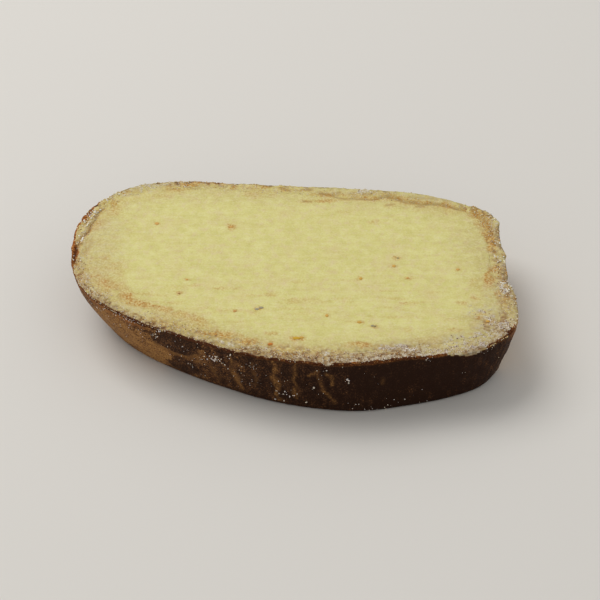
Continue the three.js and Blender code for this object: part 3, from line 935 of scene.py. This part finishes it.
def makeBread():
    rings, distance, share, (lipFrom, wallFrom, underFrom) = layBread()
    row = np.arange(len(rings))[:, None] * np.ones(slab["columns"])
    onLip = (row >= lipFrom) & (row < wallFrom)
    onWall = (row >= wallFrom) & (row < underFrom)
    onUnder = row >= underFrom

    # Relief: sugared lip, dull swells on the crust, torn crumb and a sawn underside.
    normals = ringNormals(rings)
    noises = noiseFields(rings, loaf["noises"].values())
    rough, fine, swell, lump, lipSwell, bend, sag, fray = noises
    warped = rings + 0.7 * rough[..., None]
    pores = np.maximum(*[poreField(warped, *pore) for pore in loaf["pores"]])
    top = topFinish(rings, distance)
    relief = onLip * (lipSwell + top["relief"]) * smoothStep(-0.2, 0.7, distance)
    dull = (swell + 0.08 * rough) * np.sqrt(np.sin(math.pi * np.clip(1 - share, 0, 1)))
    craggy = lump + 0.4 * rough + 0.25 * fine - 1.1 * pores
    craggy = craggy * (smoothStep(0, 0.05, share) * smoothStep(0.01, 0.07, 1 - share))
    relief = relief + onWall * mix(dull, craggy, rim["torn"])
    ends = smoothStep(underFrom, underFrom + 2, row) * smoothStep(len(rings) - 1, len(rings) - 4, row)
    relief = relief - onUnder * ends * (0.9 * pores + 0.12 * (1 + rough))
    relief[: lipFrom + 1] = 0
    alongWall = rings[..., 0] + bend + 0.5 * rough + 0.3 * fine
    upWall = rings[..., 2] + sag
    crack = crackCrust(alongWall, rings[..., 2], rough, fine) * onWall
    tear = rim["torn"] + (fray + 0.09 * rough + 0.04 * fine) * smoothStep(0, 0.3, rim["torn"])
    rings = rings + normals * (relief - 0.15 * crack)[..., None]

    # Finish of the crust and where it gives way to crumb.
    bake = bakeCrust(rings, alongWall, upWall, onWall, tear)
    spill = sum(amount * bell(rim["x"], x, halfWidth) for x, halfWidth, amount in spills) * rimFront
    spill = spill + 0.3 * noiseField(rimPoints, *loaf["spillNoise"]) + 0.9 * rim["torn"]
    down = (1 - share) * thickness
    edge = (rim["edge"] + alongRim(wideRind)) * (1 + 0.4 * rough) * smoothStep(0.6, 0.3, spill)
    edge = np.where((tear > 0.5) | (spill > 0.45), -1, edge)
    crumb = np.where(onLip, distance > edge, np.where(onWall, tear > 0.5, True))
    crumb = crumb | (onWall & (down < spill))
    crumb[underFrom] = False
    buttered = (onLip + onWall * smoothStep(0.9, -0.4, down - spill + 0.5 * rough)) * ~onUnder
    cutEdge = rim["glow"] * (onLip + onWall * smoothStep(1.2, 0.2, down) * (0.6 + 0.5 * rough))
    # Painted light: at the right corner the rind is painted amber as if lit through the crust's edge.
    paintedCornerLight = bell(rings[..., 0], *loaf["paintedCornerLight"]) * smoothStep(19.5, 22, rings[..., 2])
    leftGlow = 0.7 * smoothStep(*loaf["leftGlow"], rings[..., 0]) * bell(down + 0.8 * rough, 0.6, 1.5)
    glow = (paintedCornerLight + leftGlow) * rimFront * onWall
    brown = 0.5 * smoothStep(0.8, 0.5, tear) * onWall  # the crumb browns towards the crust
    # Painted shade in the pores of the torn crumb, together with its real browning towards the crust.
    poreShadeAndBrowning = (0.8 * pores + brown) * np.where(onWall, smoothStep(0.42, 0.52, tear), 1)
    fields = {field: top[field] * buttered for field in topFields}
    fields["hollow"] = np.clip(fields["hollow"] + poreShadeAndBrowning * (1 - buttered), 0, 1)
    fields["cut"] = np.clip(np.maximum(cutEdge, glow), 0, 1)
    fields.update({"bake": bake, "crack": crack, "plain": 1.0 - buttered, "crumb": crumb.astype(float)})
    mesh = meshFromRings("bread", rings, fields)
    addPiece("bread", mesh, [bakedCrust(), toastedCrumb()], "bread_slice")
    return {
        "rings": rings,
        "normals": normals,
        "distance": distance,
        "onLip": onLip,
        "frontWall": onWall & (rimFront > 0.5),
        "sugar": top["dusted"] * fields["sugar"] * crumb,
        "gritty": fields["gritty"] * crumb,
        "hollow": fields["hollow"],
        "outer": bell(distance, 2.2, 1.4) * rimFront * crumb * smoothStep(0.3, 0.9, rim["sugar"]),
    }


bread = makeBread()

# The butter, spread from lip to lip. Lengths are in mm, and insets are from its edge.
spread = {
    "edgeInsets": (0, 0.3, 0.6, 1.0, 1.5, 2.1, 2.8),
    "innerRings": 88,
    "innerWidth": 40,  # about how far it is from there to the middle
    "underShares": (0.3, 0.7, 1),  # of the way to the middle
    "sink": 0.25,  # its underside lies this far in the crumb
    "lift": 1.05,  # how thick it lies, and at which insets it has which share of that
    "liftInsets": (0, 0.3, 0.8, 1.5, 3, 5),
    "liftShares": (0.5, 0.62, 0.72, 0.82, 0.94, 1),
    "edgeLift": 0.08,
    "knifeMark": 0.1,
    "strokes": (5, 21),  # the size and seed of the noise
    "strokeStretch": (0.25, 1, 1),
    "grain": ((0.03, 2, 22), (0.03, 0.9, 23)),  # amount, size, seed
}


def makeButter():
    base = butterLow[2]
    edges = [inward(margin + inset, base) for inset in spread["edgeInsets"]]
    shares = np.linspace(0, 1, spread["innerRings"] + 1)[1:]
    top = [shrunk(edges[-1], share) for share in shares][::-1] + edges[::-1]
    low = inward(margin, base - spread["sink"])
    bottom = [low] + [shrunk(low, share) for share in spread["underShares"]]
    rings = np.array(top + bottom)
    inner = spread["edgeInsets"][-1] + spread["innerWidth"] * shares
    inset = np.concatenate([inner[::-1], spread["edgeInsets"][::-1]])[:, None]
    surface = rings[: len(top)]
    finish = topFinish(surface, margin + inset)
    strokes = noiseField(surface * spread["strokeStretch"], *spread["strokes"])
    settle = smoothStep(0, 2, inset)
    height = spread["lift"] * np.interp(inset, spread["liftInsets"], spread["liftShares"])
    height = base + height + spread["knifeMark"] * strokes * settle
    height = height + sum(noiseFields(surface, spread["grain"])) + 0.6 * finish["relief"] * settle
    surface[..., 2] = height
    surface[-1, :, 2] = base + spread["edgeLift"]
    fields = {field: np.zeros(rings.shape[:2]) for field in topFields}
    for field, values in fields.items():
        values[: len(top)] = finish[field]
    mesh = meshFromRings("butter", rings, fields)
    addPiece("butter", mesh, [spreadButter()], "butter_spread")
    return {"rings": surface, "normals": ringNormals(surface), "sugar": finish["sugar"]}


butter = makeButter()

# Sugar and crumbs, each kind one joined mesh. Lengths are in mm.
sprinkled = {
    "lipSugar": (4500, (0.2, 0.4), 11),  # how many crystals, their sizes and the seed
    "butterSugar": (300, (0.22, 0.4), 12),
    "heaps": (2.8, 31),  # a noise, where the crystals lie closer
    "crustSeed": 13,
    "mostUp": 4,  # crumbs on the crust are spread at most so far up and down
    "crustBand": (0.5, 23.8),  # lowest and highest crumb on the crust
    "rimSeed": 15,
    "rimBand": (0.25, 3.5),  # crumbs on the lip lie so far in from the rim
    "bitHeight": 0.4,
}

# Crumbs on the front crust: (x, z, how many, how far apart, size) in mm.
crustCrumbs = [
    (18.8, 16.6, 7, 0.35, 0.8),
    (45.8, 22.5, 5, 0.6, 0.6),
    (-44.5, 23.4, 6, 0.5, 0.5),
    (-25.3, 17.6, 24, 1.1, 0.65),
    (66, 22.3, 9, 1.6, 0.5),
    (-1.6, 6.1, 16, 1.4, 0.6),
    (7.8, 12, 1, 0, 0.8),
    (5.1, 3.7, 1, 0, 0.9),
    (38.7, 4.5, 2, 0.5, 0.6),
    (58.8, 13.5, 2, 0.4, 0.4),
    (70.7, 14.2, 1, 0, 0.5),
    (-21, 21.2, 3, 0.7, 0.9),
    (-45.8, 19.8, 6, 1, 0.7),
    (-13.3, 18.1, 8, 1.2, 0.5),
    (-22.2, 15.7, 3, 0.6, 0.6),
    (-33.5, 9.2, 5, 1, 0.5),
    (-30.4, 15.4, 6, 1.2, 0.55),
    (10.4, 21.5, 6, 1, 0.5),
    (-55, 22.6, 14, 2.5, 0.45),
    (-62, 21.8, 12, 2.2, 0.45),
    (-66, 20.5, 7, 1.5, 0.4),
    (22, 2.2, 6, 2, 0.45),
    (28, 2.2, 7, 2.2, 0.45),
    (34, 1.6, 7, 2, 0.45),
    (42, 1.6, 5, 2.5, 0.4),
    (-20, 12, 45, 22, 0.35),
    (-61, 18, 16, 4, 0.35),
    (-50, 19, 14, 3.5, 0.35),
    (-36, 16, 22, 4.5, 0.35),
    (-14, 15, 20, 5, 0.35),
]

# Toasted crumbs along the rim: (x, y, half length, how many, size, tone) in mm, tone 0 cream, 1 brown.
rimCrumbs = [
    (-74, 15.5, 2.5, 16, 1.6, 0),
    (-72.5, 24, 3, 14, 1.5, 0),
    (-70.5, 31, 3, 14, 1.5, 0),
    (-67, 38, 3, 26, 1.2, 0.2),
    (-63, 42, 3, 20, 1.1, 0.3),
    (-70.5, 30, 3, 22, 1.1, 0.2),
    (-73.5, 22, 4, 24, 1, 0.15),
    (-75, 15, 3, 14, 0.9, 0.25),
    (-74.5, 5, 3, 14, 0.9, 0.25),
    (-56, 46, 5, 22, 0.9, 0.2),
    (-42, 48, 7, 30, 0.9, 0.3),
    (-28, 48.5, 5, 30, 1, 0.6),
    (-14, 47.5, 5, 16, 0.8, 0.45),
    (-2, 46.5, 6, 10, 0.7, 0.3),
    (22, 44, 10, 20, 0.8, 0.3),
    (45, 40, 8, 18, 0.8, 0.25),
    (66, 33, 4, 24, 1.1, 0.4),
    (71.5, 27.5, 3, 30, 1.3, 0.3),
    (72.5, 21, 3, 26, 1.2, 0.5),
    (74, 14, 3.5, 26, 1.1, 0.35),
    (74.5, 6, 3.5, 24, 1.3, 0.2),
    (73.5, -2, 3.5, 26, 1.1, 0.45),
    (74.5, -9, 3.5, 30, 1.2, 0.2),
    (74, -11.5, 3, 26, 1.1, -0.1),
    (76.5, -17, 4, 24, 1, 0.3),
    (76, -27, 4, 22, 0.9, 0.3),
    (70, -38, 6, 26, 0.8, 0.35),
    (20, -46, 9, 30, 0.5, 0.5),
    (33, -45.5, 8, 30, 0.5, 0.5),
    (0, -46, 9, 20, 0.5, 0.4),
    (-22, -41, 10, 20, 0.5, 0.35),
    (-45, -33, 10, 20, 0.5, 0.3),
    (-66, -16, 8, 18, 0.5, 0.25),
    (-72, -12, 5, 26, 0.55, 0),
    (-67, -18, 5, 26, 0.55, 0),
    (-60.5, -23.5, 5, 26, 0.55, 0),
    (-53, -28.7, 5, 24, 0.5, 0),
    (-45, -32.5, 6, 22, 0.5, 0),
]


def grainShape(makeShape, **sizes):
    bm = bmesh.new()
    makeShape(bm, **sizes)
    bmesh.ops.triangulate(bm, faces=bm.faces)
    corners = np.array([vert.co[:] for vert in bm.verts])
    faces = np.array([[vert.index for vert in face.verts] for face in bm.faces])
    bm.free()
    return corners, faces


def scatterSpots(surface, density, count, rng):
    # places on the ring surface, thickest where the density is high, and the sugar value there
    rings, normals = surface["rings"], surface["normals"]
    right = np.roll(rings, -1, axis=1)
    area = np.linalg.norm(np.cross(rings[1:] - rings[:-1], (right - rings)[:-1]), axis=2)
    weights = (area * density[:-1]).ravel()
    cells = rng.choice(weights.size, count, p=weights / weights.sum())
    row, column = np.divmod(cells, rings.shape[1])
    after = (column + 1) % rings.shape[1]
    u, v = rng.random((2, count, 1))
    here, there = [mix(rings[row, c], rings[row + 1, c], v) for c in (column, after)]
    return mix(here, there, u), normals[row, column], surface["sugar"][row, column]


def randomTurns(count, rng):
    turn = rng.normal(size=(count, 4))
    w, x, y, z = (turn / np.linalg.norm(turn, axis=1, keepdims=True)).T
    rows = [
        [1 - 2 * (y * y + z * z), 2 * (x * y - w * z), 2 * (x * z + w * y)],
        [2 * (x * y + w * z), 1 - 2 * (x * x + z * z), 2 * (y * z - w * x)],
        [2 * (x * z - w * y), 2 * (y * z + w * x), 1 - 2 * (x * x + y * y)],
    ]
    return np.moveaxis(np.array(rows), 2, 0)


def joinGrains(name, shape, spots, scales, turns, tones):
    corners, faces = shape
    grains = np.einsum("nij,nkj->nki", turns, corners[None] * scales[:, None]) + spots[:, None]
    joined = faces[None] + len(corners) * np.arange(len(spots))[:, None, None]
    mesh = bpy.data.meshes.new(name)
    mesh.from_pydata((grains.reshape(-1, 3) * mm).tolist(), [], joined.reshape(-1, 3).tolist())
    tone = mesh.attributes.new("tone", "FLOAT", "POINT")
    tone.data.foreach_set("value", np.repeat(tones, len(corners)).astype(np.float32))
    return mesh


def grainTones(sugar, rng):  # whiter where sugar lies thick, with caramelised grains in between
    burnt = (rng.random(len(sugar)) < 0.15 + 0.35 * sugar) * rng.uniform(0.2, 0.7, len(sugar))
    return np.clip(mix(0.4, 0.14, sugar) + rng.normal(0, 0.06, len(sugar)) + burnt, 0, 1)


def makeSugar(name, slotName, surface, density, count, sizes, seed):
    rng = np.random.default_rng(seed)
    crystal = grainShape(bmesh.ops.create_cube, size=1)
    heaps = smoothStep(-0.35, 0.45, noiseField(surface["rings"], *sprinkled["heaps"]))
    spots, out, sugar = scatterSpots(surface, density * (0.2 + 0.8 * heaps), count, rng)
    size = rng.uniform(*sizes, (count, 1))
    spots = spots + out * size * rng.uniform(-0.4, 0.05, (count, 1))
    scales = size * rng.uniform(0.6, 1.1, (count, 3))
    mesh = joinGrains(name, crystal, spots, scales, randomTurns(count, rng), grainTones(sugar, rng))
    addPiece(name, mesh, [bakedSugar()])


def nearest(points, place):
    return np.argmin(((points - place) ** 2).sum(axis=1))


def makeCrustCrumbs():
    rng = np.random.default_rng(sprinkled["crustSeed"])
    wall = bread["rings"][bread["frontWall"]]
    facing = bread["normals"][bread["frontWall"]]
    spots, sizes = [], []
    for x, z, count, apart, size in crustCrumbs:
        for step in range(count):
            px, pz = rng.normal((x, z), (apart, min(apart, sprinkled["mostUp"])))
            spot = nearest(wall[:, (0, 2)], (px, np.clip(pz, *sprinkled["crustBand"])))
            grain = size * (1 if count == 1 else rng.uniform(0.3, 1.1))
            spots.append(wall[spot] + 0.25 * grain * facing[spot])
            sizes.append(grain)
    crumb = grainShape(bmesh.ops.create_icosphere, subdivisions=1, radius=0.5)
    scales = np.array(sizes)[:, None] * rng.uniform(0.5, 1.3, (len(spots), 3))
    tones = rng.uniform(0, 0.3, len(spots))
    turns = randomTurns(len(spots), rng)
    mesh = joinGrains("crustCrumbs", crumb, np.array(spots), scales, turns, tones)
    addPiece("crustCrumbs", mesh, [bakedSugar()])


def makeRimCrumbs():
    rng = np.random.default_rng(sprinkled["rimSeed"])
    first, last = sprinkled["rimBand"]
    near = bread["onLip"] & (bread["distance"] > first) & (bread["distance"] < last)
    lip, facing = bread["rings"][near], bread["normals"][near]
    spots, sizes, tones = [], [], []
    for x, y, halfLength, count, size, tone in rimCrumbs:
        for step in range(count):
            spot = nearest(lip[:, :2], rng.normal((x, y), halfLength / 2))
            grain = size * rng.uniform(0.35, 0.8)
            spots.append(lip[spot] + rng.uniform(-0.25, 0.2) * grain * facing[spot])
            sizes.append(grain)
            tones.append(np.clip(tone + rng.normal(0, 0.2), 0, 1))
    crumb = grainShape(bmesh.ops.create_icosphere, subdivisions=1, radius=0.5)
    scales = np.array(sizes)[:, None] * rng.uniform(0.6, 1.1, (len(spots), 3))
    turns = randomTurns(len(spots), rng)
    mesh = joinGrains("rimCrumbs", crumb, np.array(spots), scales, turns, np.array(tones))
    addPiece("rimCrumbs", mesh, [crispCrumbs()])


def makeButterBits():
    top = butter["rings"].reshape(-1, 3)
    flake = grainShape(bmesh.ops.create_icosphere, subdivisions=2, radius=0.5)
    x, y, length, width, tones = np.array(butterBits).T
    spots = np.array([top[nearest(top[:, :2], place)] for place in zip(x, y)])
    scales = np.stack([length, width, np.full(len(x), sprinkled["bitHeight"])], axis=1)
    turns = np.broadcast_to(np.eye(3), (len(x), 3, 3))
    mesh = joinGrains("butterBits", flake, spots, scales, turns, tones)
    for face in mesh.polygons:
        face.use_smooth = True
    addPiece("butterBits", mesh, [burntBits()])


lipDensity = smoothStep(0.4, 0.95, bread["sugar"]) + 0.12 * bread["gritty"] + 0.3 * bread["outer"]
lipDensity = lipDensity * (1 - 0.8 * bread["hollow"])
lipDensity = lipDensity * bread["onLip"] * smoothStep(0.3, 0.9, bread["distance"])
butterDensity = smoothStep(0.3, 0.7, butter["sugar"])
makeSugar("lipSugar", "bread", bread, lipDensity, *sprinkled["lipSugar"])
makeSugar("butterSugar", "butter", butter, butterDensity, *sprinkled["butterSugar"])
makeCrustCrumbs()
makeRimCrumbs()
makeButterBits()

# Floor and studio light. Lengths are in metres and the power in watts.
studio = {
    "floorSize": 4.0,
    "floorDrop": 0.00002,
    "keyPlace": (-0.7, 0.5, 1.3),
    "keySize": 1.0,
    "keyPower": 13,
    "world": 0.55,
}


def addStudio():
    bm = bmesh.new()
    bmesh.ops.create_grid(bm, x_segments=1, y_segments=1, size=studio["floorSize"] / 2)
    bmesh.ops.translate(bm, verts=bm.verts, vec=(0, 0, -studio["floorDrop"]))
    mesh = bpy.data.meshes.new("floor")
    bm.to_mesh(mesh)
    bm.free()
    mesh.materials.append(plainPaper())
    floor = addObject("floor", mesh)
    key = addObject("keyLight", bpy.data.lights.new("keyLight", "AREA"))
    key.data.size = studio["keySize"]
    key.data.energy = studio["keyPower"]
    key.location = studio["keyPlace"]
    key.rotation_euler = (-key.location).to_track_quat("-Z", "Y").to_euler()
    world = bpy.data.worlds.new("studio")
    world.use_nodes = True
    background = world.node_tree.nodes["Background"].inputs
    background["Color"].default_value = (1, 1, 1, 1)
    background["Strength"].default_value = studio["world"]
    bpy.context.scene.world = world
    bpy.context.scene.view_settings.view_transform = "Standard"


addStudio()
print("studio ready")
